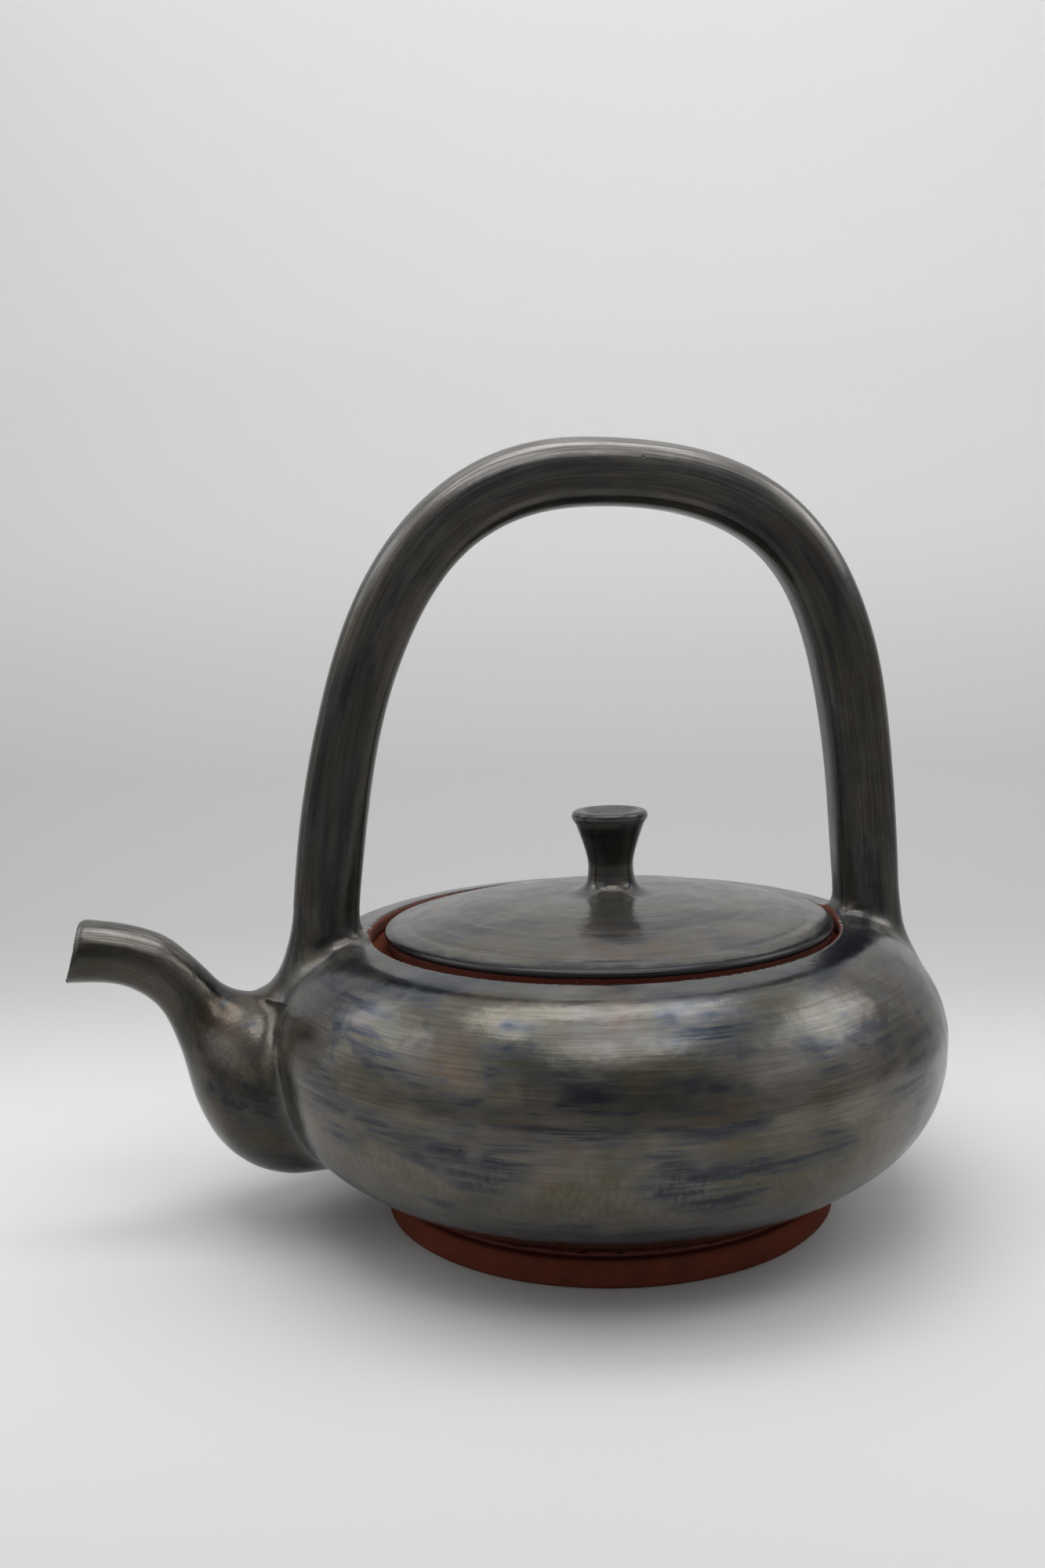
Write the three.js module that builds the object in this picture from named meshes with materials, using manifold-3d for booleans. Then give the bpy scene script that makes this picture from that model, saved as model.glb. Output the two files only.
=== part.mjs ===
// A top-handle teapot in dark metallic glaze on a bare red foot. Millimetres, +Z up, spout towards -X.
// The pot is a hollow thrown bowl with a hollow spout, a strainer behind it and a pulled arch handle.
// The lid is a thrown cap with a locating ring and a knob, and it lies loose in the seat of the mouth.
import * as THREE from "three";
import { mergeVertices } from "three/addons/utils/BufferGeometryUtils.js";
import Module from "manifold-3d";

const wasm = await Module();
wasm.setup();

// Clearances
const joinGap = 0.3;
const seatGap = 0.3;
const lidPlay = 3.1;
const flangePlay = 4;

// Pot
const bellyRadius = 94;
const bellyHeight = 50;
const rimHeight = 79;
const rimShelf = 6.9;
const wall = 4.5;
const floorThickness = 5;
const seamRadius = 60;

// How far the rim's shelf falls outwards, and how far below the shelf's underside the inner wall starts
const rimFall = 0.9;
const rimRoot = 1.2;

// The belly's outline: the undercut above the foot, and how far the curve's pulls reach from its ends
const undercut = { out: 1.3, up: 1.8 };
const bellyFlare = { out: 25, up: 12.7 };
const bellyDrop = 19.5;
const shoulderRise = 14;
const shoulderEase = 8.5;

// Foot
const footRadius = 63;
const footWidth = 7;
const footHeight = 7.2;
const footLedge = 1;
const footChamfer = 0.7;

// Mouth and the seat that the lid lies on
const mouthRadius = 65.1;
const seatWidth = 7.6;
const throatRadius = mouthRadius - seatWidth;
const seatThickness = 4;
const seatChamfer = 0.8;

// Lid
const lidRadius = mouthRadius - lidPlay;
const lidEdge = 5.2;
const lidRise = 7.6;
const lidWall = 4.5;
const lidRounding = 0.9;
const crownRadius = 35;
const crownDip = 0.4;
const crownEase = 1;
const lidShift = [1.6, 1.9];
const flangeRadius = throatRadius - flangePlay;
const flangeWidth = 3.5;
const flangeDepth = 6.5;

// Knob
const knobSeatRadius = 9.6;
const knobWaist = 6.5;
const knobRadius = 11;
const knobHeight = 23.2;
const knobLip = 2.4;
const knobDish = 2.2;
const knobRounding = 0.6;
const knobBulge = 0.7;
const knobShift = 1.2;
const knobStem = { lowPull: 1.9, lowShare: 0.13, highPull: 0.7, highShare: 0.42 };

// Handle
const handleThickness = 18.4;
const handleDepth = 17.4;
const legThickness = 17.8;
const handleLegs = [-76.9, 76.1];
const handleApex = -2.8;
const handleHeight = 212.9;
const handleFootTop = 88;
const handleFootSpread = { near: 10, far: 7.6, in: 2.2, side: 6.6 };
const handleFootEase = 0.8;
const handleFootSink = 1.6;
const handleSquareness = 2.5;
const handleRootTaper = 0.6;

// How each half of the arch leans and rounds over, as shares of its leg's distance and of its rise
const nearArch = { lean: 0.915, rise: 0.526, reach: 0.684 };
const farArch = { lean: 0.953, rise: 0.62, reach: 0.943 };

// Spout
const spoutReach = 54.2;
const spoutHeight = 87.7;
const spoutRootHalf = 30;
const spoutWall = 2.9;
const spoutRootWall = 4;

// Each station is one section of the spout, from the root inside the belly to the cut lip. Its upper and
// lower ends are [distance out from the belly's side, height], as shares of the reach and of the height,
// and half is the half-width across, as a share of the root's.
const spoutStations = [
  { upper: [-0.332, 0.7], lower: [-0.332, 0.165], half: 0.97 },
  { upper: [-0.055, 0.726], lower: [-0.055, 0.158], half: 0.9 },
  { upper: [0.083, 0.733], lower: [0.122, 0.198], half: 0.79 },
  { upper: [0.175, 0.748], lower: [0.274, 0.28], half: 0.66 },
  { upper: [0.242, 0.775], lower: [0.38, 0.406], half: 0.53 },
  { upper: [0.304, 0.817], lower: [0.45, 0.572], half: 0.4 },
  { upper: [0.387, 0.871], lower: [0.532, 0.697], half: 0.317 },
  { upper: [0.507, 0.932], lower: [0.649, 0.764], half: 0.29 },
  { upper: [0.683, 0.973], lower: [0.784, 0.794], half: 0.28 },
  { upper: [0.926, 1], lower: [1, 0.802], half: 0.29 },
];

// Strainer holes pierced through the wall behind the spout
const strainerHole = 2.6;
const strainerPitch = 5.2;
const strainerRows = 7;
const strainerHeight = 38;
const drillLength = 2 * (bellyRadius - seamRadius);

// Facets
const roundSides = 60;
const bellySteps = 8;
const shoulderSteps = 8;
const knobSides = 28;
const handleSides = 16;
const spoutSides = 20;
const spoutSteps = 22;
const archSteps = 16;
const footSteps = 6;
const crownSteps = 6;
const stemSteps = 10;
const lipSteps = 4;
const dishSteps = 5;
const holeSides = 6;

const glaze = { color: 0x4d4b46, roughness: 0.34, metalness: 0.45 };
const bareClay = { color: 0x8c3f2f, roughness: 0.9, metalness: 0 };

// A closed geometry as a solid that can be joined and cut
function toSolid(geometry) {
  const bare = new THREE.BufferGeometry();
  bare.setAttribute("position", geometry.getAttribute("position"));
  bare.setIndex(geometry.index);
  const merged = mergeVertices(bare, 1e-4);
  const corners = merged.index.array;
  const faces = [];
  for (let i = 0; i < corners.length; i += 3) {
    const [a, b, c] = [corners[i], corners[i + 1], corners[i + 2]];
    const isFlat = a === b || b === c || c === a;
    if (!isFlat) faces.push(a, b, c);
  }
  const vertProperties = merged.getAttribute("position").array;
  const mesh = new wasm.Mesh({ numProp: 3, vertProperties, triVerts: new Uint32Array(faces) });
  return new wasm.Manifold(mesh);
}

function toGeometry(solid) {
  const mesh = solid.getMesh();
  const geometry = new THREE.BufferGeometry();
  geometry.setAttribute("position", new THREE.BufferAttribute(mesh.vertProperties, 3));
  geometry.setIndex(new THREE.BufferAttribute(mesh.triVerts, 1));
  geometry.computeVertexNormals();
  return geometry;
}

// A profile of [radius, height] points, turned about the upright axis. It runs up the outside.
function revolve(profile, sides) {
  const points = profile.map(([radius, height]) => new THREE.Vector2(radius, height));
  const geometry = new THREE.LatheGeometry(points, sides);
  geometry.rotateX(Math.PI / 2);
  return toSolid(geometry);
}

// A closed skin over a row of rings with the same number of points each, capped at both ends
function loft(rings) {
  const sides = rings[0].length;
  const points = rings.flat();
  const faces = [];
  for (let ring = 0; ring + 1 < rings.length; ring += 1) {
    for (let i = 0; i < sides; i += 1) {
      const here = ring * sides + i;
      const next = ring * sides + ((i + 1) % sides);
      faces.push(here, next, next + sides, here, next + sides, here + sides);
    }
  }
  const last = (rings.length - 1) * sides;
  for (let i = 1; i + 1 < sides; i += 1) {
    faces.push(0, i + 1, i, last, last + i, last + i + 1);
  }
  const geometry = new THREE.BufferGeometry().setFromPoints(points);
  geometry.setIndex(faces);
  return toSolid(geometry);
}

// Points along a bezier curve through the plane, ends included
function bezier(points, steps) {
  const corners = points.map(([x, y]) => new THREE.Vector2(x, y));
  const curve = corners.length === 4
    ? new THREE.CubicBezierCurve(...corners)
    : new THREE.QuadraticBezierCurve(...corners);
  return curve.getPoints(steps).map((point) => [point.x, point.y]);
}

// The profile moved sideways: a positive distance moves it to the left of its direction, into the clay
function offset(profile, distance) {
  return profile.map(([x, y], i) => {
    const before = profile[Math.max(i - 1, 0)];
    const after = profile[Math.min(i + 1, profile.length - 1)];
    const [dx, dy] = [after[0] - before[0], after[1] - before[1]];
    const length = Math.hypot(dx, dy);
    return [x - (dy / length) * distance, y + (dx / length) * distance];
  });
}

// The belly's outer line, from the undercut above the foot over the widest place to the rim's shelf
function bellyLine() {
  const shelfRadius = mouthRadius + rimShelf;
  const start = [seamRadius + undercut.out, footHeight + undercut.up];
  const flare = [start[0] + bellyFlare.out, start[1] + bellyFlare.up];
  const widest = [bellyRadius, bellyHeight];
  const below = [bellyRadius, bellyHeight - bellyDrop];
  const above = [bellyRadius, bellyHeight + shoulderRise];
  const shelf = [shelfRadius, rimHeight - rimFall];
  const turn = [shelfRadius + shoulderEase, rimHeight - 2 * rimFall];
  const lower = bezier([start, flare, below, widest], bellySteps);
  const shoulder = bezier([widest, above, turn, shelf], shoulderSteps);
  return [...lower, ...shoulder.slice(1)];
}

const belly = bellyLine();

// How high the belly's upper surface is at a distance from the axis
function shoulderHeight(radius) {
  const upper = belly.filter(([, height]) => height >= bellyHeight);
  const inside = upper.findIndex(([r]) => r <= radius);
  if (inside === -1) return rimHeight;
  if (inside === 0) return bellyHeight;
  const [low, high] = [upper[inside - 1], upper[inside]];
  const share = (low[0] - radius) / (low[0] - high[0]);
  return THREE.MathUtils.lerp(low[1], high[1], share);
}

// The belly filled in and grown by the join gap, which cuts what is luted onto it
function bellyFilled() {
  const grown = offset(belly, -joinGap);
  const bottom = grown[0][1];
  const top = rimHeight + joinGap;
  return revolve([[0, bottom], ...grown, [mouthRadius, top], [0, top]], roundSides);
}

function potBody() {
  const inner = offset(belly, wall).reverse();
  const floorTop = footHeight + floorThickness;
  const underRim = rimHeight - wall;
  const innerWall = inner.filter(([, height]) => height > floorTop && height < underRim - rimRoot);
  const profile = [
    [0, footHeight],
    [seamRadius, footHeight],
    ...belly,
    [mouthRadius, rimHeight],
    [mouthRadius, underRim],
    [mouthRadius + rimShelf, underRim],
    ...innerWall,
    [seamRadius - wall, floorTop],
    [0, floorTop],
  ];
  return revolve(profile, roundSides).subtract(strainerHoles());
}

// Staggered rows of holes drilled along X, which keep the leaves out of the spout
function strainerHoles() {
  const holes = [];
  const rowRise = strainerPitch * Math.sin(Math.PI / 3);
  const middle = (strainerRows - 1) / 2;
  for (let row = 0; row < strainerRows; row += 1) {
    const count = strainerRows - Math.abs(row - middle);
    for (let i = 0; i < count; i += 1) {
      const across = (i - (count - 1) / 2) * strainerPitch;
      const drill = new THREE.CylinderGeometry(strainerHole / 2, strainerHole / 2, drillLength, holeSides);
      drill.rotateZ(Math.PI / 2);
      drill.translate(-bellyRadius, across, strainerHeight + (row - middle) * rowRise);
      holes.push(toSolid(drill));
    }
  }
  return holes.reduce((all, hole) => all.add(hole));
}

function footRing() {
  const innerRadius = footRadius - footWidth;
  const topRadius = footRadius - footLedge;
  return revolve([
    [innerRadius, footChamfer],
    [innerRadius + footChamfer, 0],
    [footRadius - footChamfer, 0],
    [footRadius, footChamfer],
    [footRadius - footLedge / 3, footHeight - footChamfer],
    [topRadius, footHeight],
    [innerRadius - footLedge, footHeight],
    [innerRadius, footChamfer],
  ], roundSides);
}

function galleryRing() {
  const top = rimHeight - wall;
  const bottom = top - seatThickness;
  const outerRadius = mouthRadius + rimShelf;
  return revolve([
    [throatRadius + seatChamfer, bottom],
    [outerRadius - seatThickness, bottom],
    [outerRadius, top],
    [throatRadius + seatChamfer, top],
    [throatRadius, top - seatChamfer],
    [throatRadius, bottom + seatChamfer],
    [throatRadius + seatChamfer, bottom],
  ], roundSides);
}

// Heights that the lid's pieces share
const lidBottom = rimHeight - wall + seatGap;
const lidEdgeTop = lidBottom + lidEdge;
const lidTop = lidEdgeTop + lidRise;

function lidCap() {
  const crownStart = [lidRadius - lidRounding, lidEdgeTop];
  const knobSeat = [knobSeatRadius + knobShift, lidTop];
  const crown = bezier([crownStart, [crownRadius, lidTop - crownDip], knobSeat], crownSteps);
  const under = offset(crown, lidWall).reverse();
  const ringInside = flangeRadius - flangeWidth;
  const hollow = under.filter(([radius]) => radius < ringInside - crownEase);
  const rootHeight = hollow[hollow.length - 1][1];
  return revolve([
    [0, lidTop - lidWall],
    ...hollow,
    [ringInside, rootHeight],
    [ringInside, lidBottom],
    [lidRadius - lidRounding, lidBottom],
    [lidRadius, lidBottom + lidRounding],
    [lidRadius, lidEdgeTop - lidRounding],
    ...crown,
    [0, lidTop],
  ], roundSides);
}

function lidFlange() {
  const innerRadius = flangeRadius - flangeWidth;
  const bottom = lidBottom - flangeDepth;
  const chamfer = flangeWidth / 4;
  return revolve([
    [innerRadius, bottom + chamfer],
    [innerRadius + chamfer, bottom],
    [flangeRadius - chamfer, bottom],
    [flangeRadius, bottom + chamfer],
    [flangeRadius, lidBottom],
    [innerRadius, lidBottom],
    [innerRadius, bottom + chamfer],
  ], roundSides);
}

// A waisted stem under a rounded lip with a dished top
function lidKnob() {
  const top = lidTop + knobHeight;
  const lipBottom = top - knobLip;
  const underLip = [knobRadius - knobRounding, lipBottom];
  const overLip = [knobRadius - knobLip, top];
  const stem = bezier([
    [knobSeatRadius, lidTop],
    [knobWaist - knobStem.lowPull, lidTop + knobHeight * knobStem.lowShare],
    [knobWaist - knobStem.highPull, lidTop + knobHeight * knobStem.highShare],
    underLip,
  ], stemSteps);
  const lip = bezier([underLip, [knobRadius + knobBulge, top], overLip], lipSteps);
  const dish = bezier([overLip, [knobWaist, top - knobDish], [0, top - knobDish]], dishSteps);
  const knob = revolve([[0, lidTop], ...stem, ...lip.slice(1), ...dish.slice(1)], knobSides);
  return knob.translate([knobShift, 0, 0]);
}

// One ring of the spout at a share of its length, pushed out by grow. A negative grow gives the bore.
function spoutRing(share, grow) {
  const spline = (values) => new THREE.SplineCurve(values.map(([x, y]) => new THREE.Vector2(x, y)));
  const size = new THREE.Vector2(spoutReach, spoutHeight);
  const upper = spline(spoutStations.map((station) => station.upper)).getPoint(share).multiply(size);
  const lower = spline(spoutStations.map((station) => station.lower)).getPoint(share).multiply(size);
  const width = spline(spoutStations.map((station, i) => [i, station.half])).getPoint(share);
  const half = width.y * spoutRootHalf;
  const middle = upper.clone().add(lower).multiplyScalar(0.5);
  const rise = upper.clone().sub(lower);
  const tall = rise.length() / 2 + grow;
  rise.normalize();
  const ring = [];
  for (let i = 0; i < spoutSides; i += 1) {
    const angle = (i / spoutSides) * Math.PI * 2;
    const along = middle.clone().addScaledVector(rise, tall * Math.cos(angle));
    ring.push(new THREE.Vector3(-bellyRadius - along.x, (half + grow) * Math.sin(angle), along.y));
  }
  return ring;
}

function spoutSkin(steps, growAt) {
  const rings = [];
  for (let step = 0; step <= steps; step += 1) {
    const share = step / steps;
    rings.push(spoutRing(share, growAt(share)));
  }
  return rings;
}

function spout() {
  const outside = loft(spoutSkin(spoutSteps, () => 0));
  const boreRings = spoutSkin(spoutSteps, (share) => -THREE.MathUtils.lerp(spoutRootWall, spoutWall, share));
  const mouth = boreRings[boreRings.length - 1].map((point) => point.clone().setX(point.x - wall));
  const root = boreRings[0].map((point) => point.clone().setX(point.x + wall));
  const bore = loft([root, ...boreRings, mouth]);
  return outside.subtract(bore).subtract(bellyFilled());
}

// The handle's section: a rounded square stretched to half sizes across and deep
function sectionShare(angle) {
  const soften = (value) => Math.sign(value) * Math.abs(value) ** (2 / handleSquareness);
  return { across: soften(Math.cos(angle)), deep: soften(-Math.sin(angle)) };
}

function handleAngles() {
  return Array.from({ length: handleSides }, (_, i) => (i / handleSides) * Math.PI * 2);
}

// The arch's centre line over the pot, from the spout's side to the far side
function archLine() {
  const top = handleHeight - handleThickness / 2;
  const [near, far] = handleLegs;
  const rise = top - handleFootTop;
  const point = (x, z) => new THREE.Vector2(x, z);
  const nearHalf = new THREE.CubicBezierCurve(
    point(near, handleFootTop),
    point(near * nearArch.lean, handleFootTop + rise * nearArch.rise),
    point(handleApex + near * nearArch.reach, top),
    point(handleApex, top),
  );
  const farHalf = new THREE.CubicBezierCurve(
    point(handleApex, top),
    point(handleApex + far * farArch.reach, top),
    point(far * farArch.lean, handleFootTop + rise * farArch.rise),
    point(far, handleFootTop),
  );
  return [nearHalf, farHalf];
}

function archRings() {
  const rings = [];
  for (const [half, curve] of archLine().entries()) {
    for (let step = half; step <= archSteps; step += 1) {
      const share = curve.getUtoTmapping(step / archSteps);
      const centre = curve.getPoint(share);
      const along = curve.getTangent(share);
      const fromApex = Math.abs(1 - half - step / archSteps);
      const thickness = THREE.MathUtils.lerp(handleThickness, legThickness, fromApex);
      rings.push(handleAngles().map((angle) => {
        const { across, deep } = sectionShare(angle);
        const out = across * thickness / 2;
        return new THREE.Vector3(centre.x - along.y * out, deep * handleDepth / 2, centre.y + along.x * out);
      }));
    }
  }
  return rings;
}

// How high the spout's root stands at a distance to the side of its middle
function spoutRootHeight(side) {
  const { upper, lower, half } = spoutStations[1];
  const middle = (upper[1] + lower[1]) / 2;
  const round = Math.sqrt(1 - (side / (half * spoutRootHalf)) ** 2);
  return spoutHeight * (middle + (upper[1] - middle) * round);
}

// A spread foot: rings that flare out from the leg and come down on the shoulder, or on the spout's root
function footRings(legX) {
  const side = Math.sign(legX);
  const outSpread = side < 0 ? handleFootSpread.near : handleFootSpread.far;
  const rings = [];
  for (let step = 1; step <= footSteps; step += 1) {
    const turn = (step / footSteps) * Math.PI / 2;
    const flare = (1 - Math.cos(turn)) ** handleFootEase;
    rings.push(handleAngles().map((angle) => {
      const { across, deep } = sectionShare(angle);
      const spread = across > 0 ? outSpread : handleFootSpread.in;
      const x = legX + side * across * (legThickness / 2 + spread * flare);
      const y = deep * (handleDepth / 2 + handleFootSpread.side * flare);
      const footX = legX + side * across * (legThickness / 2 + spread);
      const footY = deep * (handleDepth / 2 + handleFootSpread.side);
      const root = side < 0 ? spoutRootHeight(footY) : 0;
      const surface = Math.max(shoulderHeight(Math.hypot(footX, footY)), root) - handleFootSink;
      return new THREE.Vector3(x, y, handleFootTop - (handleFootTop - surface) * Math.sin(turn));
    }));
  }
  const buried = rings[footSteps - 1].map((point) => {
    const x = THREE.MathUtils.lerp(legX, point.x, handleRootTaper);
    return new THREE.Vector3(x, point.y * handleRootTaper, bellyHeight);
  });
  return [...rings, buried];
}

function handle() {
  const [near, far] = handleLegs;
  const rings = [...footRings(near).reverse(), ...archRings(), ...footRings(far)];
  const spoutGrown = loft(spoutSkin(spoutSteps, () => joinGap));
  return loft(rings).subtract(bellyFilled()).subtract(spoutGrown);
}

function piece(name, solid, finish) {
  const mesh = new THREE.Mesh(toGeometry(solid), new THREE.MeshStandardMaterial(finish));
  mesh.name = name;
  return mesh;
}

function build() {
  const lid = new THREE.Group();
  lid.add(piece("lid_cap", lidCap(), glaze));
  lid.add(piece("lid_flange", lidFlange(), bareClay));
  lid.add(piece("lid_knob", lidKnob(), glaze));
  lid.position.set(lidShift[0], lidShift[1], 0);

  const teapot = new THREE.Group();
  teapot.add(piece("pot_body", potBody(), glaze));
  teapot.add(piece("foot_ring", footRing(), bareClay));
  teapot.add(piece("gallery_ring", galleryRing(), bareClay));
  teapot.add(piece("spout", spout(), glaze));
  teapot.add(piece("handle", handle(), glaze));
  teapot.add(lid);

  // The origin is under the middle of the whole length
  teapot.position.x = spoutReach / 2;
  const part = new THREE.Group();
  part.add(teapot);
  return part;
}

export default build();
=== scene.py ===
# The looks of a top-handle teapot: one glazed skin for the fired pot, finely turned rings and lid,
# metallic glaze and bare red clay as node materials, on a pale floor under soft studio light.
import math

import bmesh
import bpy
import numpy as np
import openvdb
from mathutils import Matrix, Vector


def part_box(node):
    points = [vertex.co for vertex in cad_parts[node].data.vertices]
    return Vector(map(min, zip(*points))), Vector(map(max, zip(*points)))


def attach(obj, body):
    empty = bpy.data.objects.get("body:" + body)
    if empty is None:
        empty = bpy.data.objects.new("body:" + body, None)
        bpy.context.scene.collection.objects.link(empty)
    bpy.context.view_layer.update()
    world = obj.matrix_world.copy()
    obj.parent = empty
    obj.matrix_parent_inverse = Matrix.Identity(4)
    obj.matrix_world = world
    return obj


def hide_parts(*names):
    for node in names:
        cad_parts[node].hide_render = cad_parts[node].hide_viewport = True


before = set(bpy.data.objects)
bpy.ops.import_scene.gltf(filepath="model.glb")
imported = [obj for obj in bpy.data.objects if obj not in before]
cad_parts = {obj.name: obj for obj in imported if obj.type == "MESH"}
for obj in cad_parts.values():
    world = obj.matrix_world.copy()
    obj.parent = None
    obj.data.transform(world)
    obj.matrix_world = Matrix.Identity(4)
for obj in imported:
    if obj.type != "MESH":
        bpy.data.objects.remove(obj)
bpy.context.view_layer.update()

MM = 0.001

# The pot's own axis in the frame, from the foot that it stands on
foot_low, foot_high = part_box("foot_ring")
AXIS_X = (foot_low.x + foot_high.x) / 2 / MM

# Heights and radii in millimetres that the solids give
RIM_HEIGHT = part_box("pot_body")[1].z / MM
BELLY_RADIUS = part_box("pot_body")[1].y / MM
FOOT_HEIGHT = foot_high.z / MM
FOOT_RADIUS = foot_high.y / MM
SEAT_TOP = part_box("gallery_ring")[1].z / MM
SEAT_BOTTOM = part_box("gallery_ring")[0].z / MM
SHELF_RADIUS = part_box("gallery_ring")[1].y / MM
HANDLE_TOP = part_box("handle")[1].z / MM
SPOUT_REACH = AXIS_X - BELLY_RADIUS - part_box("spout")[0].x / MM
SPOUT_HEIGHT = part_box("spout")[1].z / MM

# Pot, in millimetres from its axis
BELLY_HEIGHT = 50
# How far the rim's flat falls outwards
RIM_FALL = 0.9
WALL = RIM_HEIGHT - SEAT_TOP
FLOOR_TOP = FOOT_HEIGHT + 5
SEAM_RADIUS = 60
MOUTH_RADIUS = 65.1
THROAT_RADIUS = 57.5

# Handle
HANDLE_HALF = 9.2
LEG_HALF = 8.9
HANDLE_DEEP = 8.7
HANDLE_LEGS = (-76.9, 76.1)
HANDLE_APEX = -2.8
HANDLE_FOOT_TOP = 88
HANDLE_ROOT = 58
HANDLE_REST = (64, 57)
HANDLE_SPREAD = (10, 7.6)
HANDLE_SPREAD_IN = 2.2
HANDLE_SPREAD_SIDE = 6.6

# Spout: the ends of its sections from root to lip, as shares of its reach and height
SPOUT_UPPER = [(-0.332, 0.7), (-0.055, 0.726), (0.083, 0.733), (0.175, 0.748), (0.242, 0.775),
               (0.304, 0.817), (0.387, 0.871), (0.507, 0.932), (0.683, 0.973), (0.926, 1)]
SPOUT_LOWER = [(-0.332, 0.165), (-0.055, 0.158), (0.122, 0.198), (0.274, 0.28), (0.38, 0.406),
               (0.45, 0.572), (0.532, 0.697), (0.649, 0.764), (0.784, 0.794), (1, 0.802)]
SPOUT_WALL = 2.9
SPOUT_ROOT_WALL = 4

# Strainer behind the spout, in staggered rows of holes
STRAINER_PITCH = 5.2
STRAINER_ROWS = 7
STRAINER_HEIGHT = 38
STRAINER_HOLE = 1.3

# Fillets where the limbs meet the bowl, the rounding of every edge, and how far the throwing rings stand out
SPOUT_FILLET = 4.5
HANDLE_FILLET = 5.5
EDGE_ROUNDING = 1.4
THROWING_RING = 0.025

# Resolution of the glazed skin
CELL = 1.0


def bezier(corners, steps):
    """Points on a cubic bezier curve, ends included."""
    a, b, c, d = (np.array(p, float) for p in corners)
    t = np.linspace(0, 1, steps + 1)[:, None]
    return (1 - t) ** 3 * a + 3 * (1 - t) ** 2 * t * b + 3 * (1 - t) * t**2 * c + t**3 * d


def through(points, steps):
    """Points on a smooth spline through the given ones, with so many steps to each stretch."""
    p = np.array(points, float)
    p = np.vstack([2 * p[0] - p[1], p, 2 * p[-1] - p[-2]])
    t = np.linspace(0, 1, steps, endpoint=False)[:, None]
    parts = []
    for a, b, c, d in zip(p, p[1:], p[2:], p[3:]):
        curve = 2 * b + (c - a) * t + (2 * a - 5 * b + 4 * c - d) * t**2 + (3 * b - a - 3 * c + d) * t**3
        parts.append(curve / 2)
    return np.vstack([*parts, p[-2:-1]])


class Plane:
    """Values worked out once on a fine grid in a plane, and read back between the grid's points."""

    def __init__(self, low, high, step, values):
        self.low, self.step = np.array(low, float), step
        count = np.ceil((np.array(high) - self.low) / step).astype(int) + 1
        u, v = (self.low[i] + np.arange(count[i]) * step for i in (0, 1))
        grid = np.stack(np.meshgrid(u, v, indexing="ij"), -1).reshape(-1, 2)
        self.table = values(grid).reshape(*count, -1)
        self.last = count - 2

    def read(self, u, v):
        x = (u - self.low[0]) / self.step
        y = (v - self.low[1]) / self.step
        i = np.clip(x.astype(int), 0, self.last[0])
        j = np.clip(y.astype(int), 0, self.last[1])
        a = np.clip(x - i, 0, 1)[:, None]
        b = np.clip(y - j, 0, 1)[:, None]
        t = self.table
        near = t[i, j] * (1 - a) + t[i + 1, j] * a
        far = t[i, j + 1] * (1 - a) + t[i + 1, j + 1] * a
        return near * (1 - b) + far * b


def nearest_on(line, points):
    """For each point: its distance to the line, the length along the line there, and its side."""
    a, b = line[:-1], line[1:]
    along = b - a
    length = np.linalg.norm(along, axis=1)
    start = np.concatenate([[0], np.cumsum(length)[:-1]])
    best = np.full(len(points), 1e9)
    where = np.zeros(len(points))
    side = np.ones(len(points))
    for i in range(len(a)):
        rel = points - a[i]
        t = np.clip(rel @ along[i] / length[i] ** 2, 0, 1)
        off = rel - t[:, None] * along[i]
        d = np.hypot(off[:, 0], off[:, 1])
        nearer = d < best
        best[nearer] = d[nearer]
        where[nearer] = (start[i] + t * length[i])[nearer]
        turn = along[i, 0] * rel[:, 1] - along[i, 1] * rel[:, 0]
        side[nearer] = np.where(turn[nearer] >= 0, 1, -1)
    return best, where, side


def inside(polygon, points):
    """Which points lie in a closed outline."""
    found = np.zeros(len(points), bool)
    for (x0, y0), (x1, y1) in zip(polygon, np.roll(polygon, -1, axis=0)):
        if y0 == y1:
            continue
        crosses = (points[:, 1] < y0) != (points[:, 1] < y1)
        reach = x0 + (points[:, 1] - y0) / (y1 - y0) * (x1 - x0)
        found ^= crosses & (points[:, 0] < reach)
    return found


def region(polygon):
    """How far each point in the plane is from a closed outline, negative inside."""
    closed = np.vstack([polygon, polygon[:1]])

    def values(points):
        distance = nearest_on(closed, points)[0]
        return np.where(inside(polygon, points), -distance, distance)

    return Plane((-1, -8), (112, 106), 0.3, values)


def soft_union(a, b, reach):
    """The lesser of two distances, with a fillet where they meet."""
    blend = np.maximum(reach - np.abs(a - b), 0) / reach
    return np.minimum(a, b) - blend**2 * reach / 4


def soft_cut(a, b, reach):
    """The greater of two distances, with a rounded edge where they meet."""
    return -soft_union(-a, -b, reach)


def ease(value, start, end):
    t = np.clip((value - start) / (end - start), 0, 1)
    return t * t * (3 - 2 * t)


# The pot's outlines, [radius, height]

def belly_line():
    undercut = (SEAM_RADIUS + 1.3, FOOT_HEIGHT + 1.8)
    widest = (BELLY_RADIUS, BELLY_HEIGHT)
    shelf = (SHELF_RADIUS, RIM_HEIGHT - RIM_FALL)
    turn = (SHELF_RADIUS + 8.5, RIM_HEIGHT - 2 * RIM_FALL)
    lower = bezier([undercut, (86.3, 21.7), (BELLY_RADIUS, 30.5), widest], 40)
    upper = bezier([widest, (BELLY_RADIUS, 64), turn, shelf], 40)
    return np.vstack([lower, upper[1:]])


def shifted(line, distance):
    """The line moved sideways, to the left of its direction."""
    along = np.gradient(line, axis=0)
    along /= np.linalg.norm(along, axis=1)[:, None]
    return line + np.stack([-along[:, 1], along[:, 0]], -1) * distance


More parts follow.
